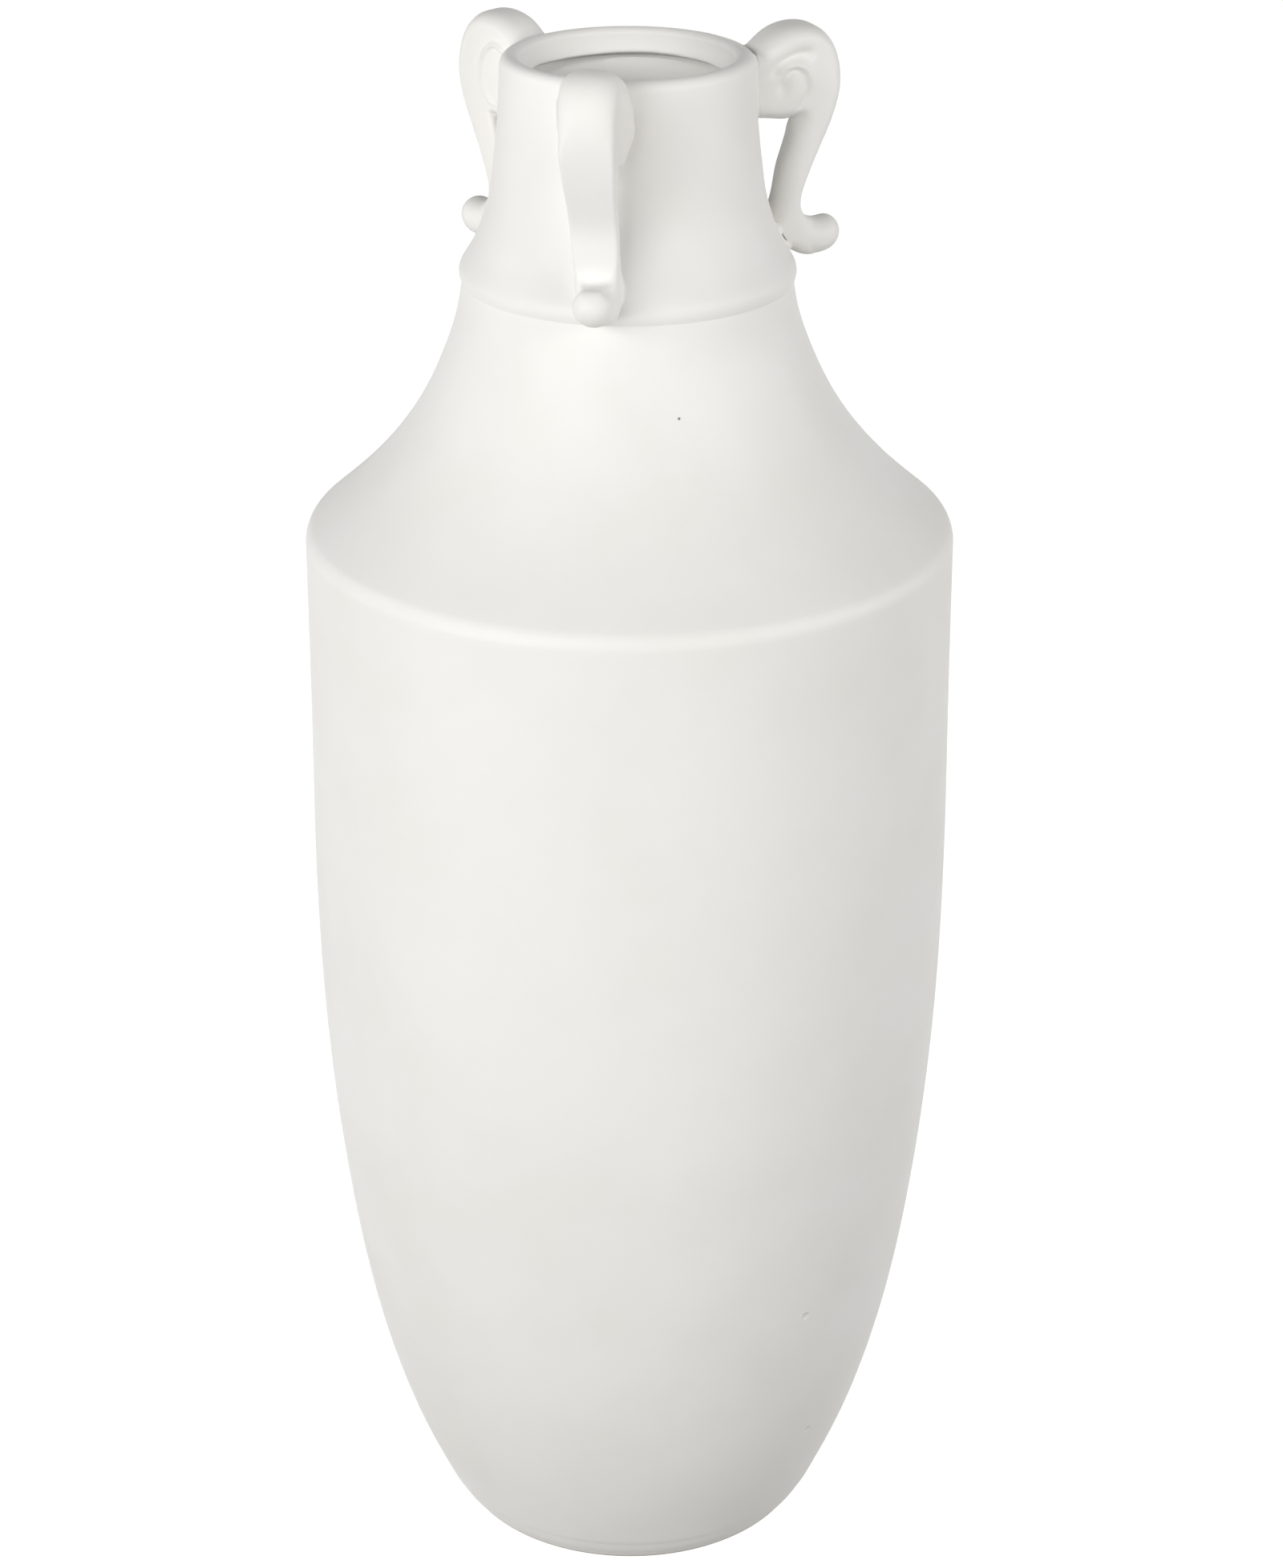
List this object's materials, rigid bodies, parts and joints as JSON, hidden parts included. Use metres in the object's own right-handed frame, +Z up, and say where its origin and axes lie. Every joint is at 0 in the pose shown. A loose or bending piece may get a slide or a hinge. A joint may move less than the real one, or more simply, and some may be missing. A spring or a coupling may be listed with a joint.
{
  "type": "amphora vase",
  "caption": "Tall white ceramic amphora vase with a swelling body, sharp shoulder, collared neck, rolled mouth and scroll handles round the neck.",
  "frame": {"origin": "centre of the foot, on the plane that the vase stands on", "axes": "+Z up along the vase's axis, -Y towards the front handle"},
  "size_m": [0.2416, 0.2416, 0.5981],
  "materials": {
    "white_glaze": "satin matte white glaze",
    "bare_foot": "white glaze on the side, bare fired clay below",
    "joining_slip": "slip under thin glaze"
  },
  "bodies": {
    "root": {"base_floor": "bare_foot", "body_wall": "white_glaze", "shoulder": "white_glaze", "neck": "white_glaze", "mouth_ring": "white_glaze", "base_slip": "joining_slip", "arris_slip": "joining_slip", "collar_slip": "joining_slip", "mouth_slip": "joining_slip", "handle_front": "white_glaze", "head_slip_front": "joining_slip", "foot_slip_front": "joining_slip", "handle_right": "white_glaze", "head_slip_right": "joining_slip", "foot_slip_right": "joining_slip", "handle_left": "white_glaze", "head_slip_left": "joining_slip", "foot_slip_left": "joining_slip"}
  },
  "joints": []
}
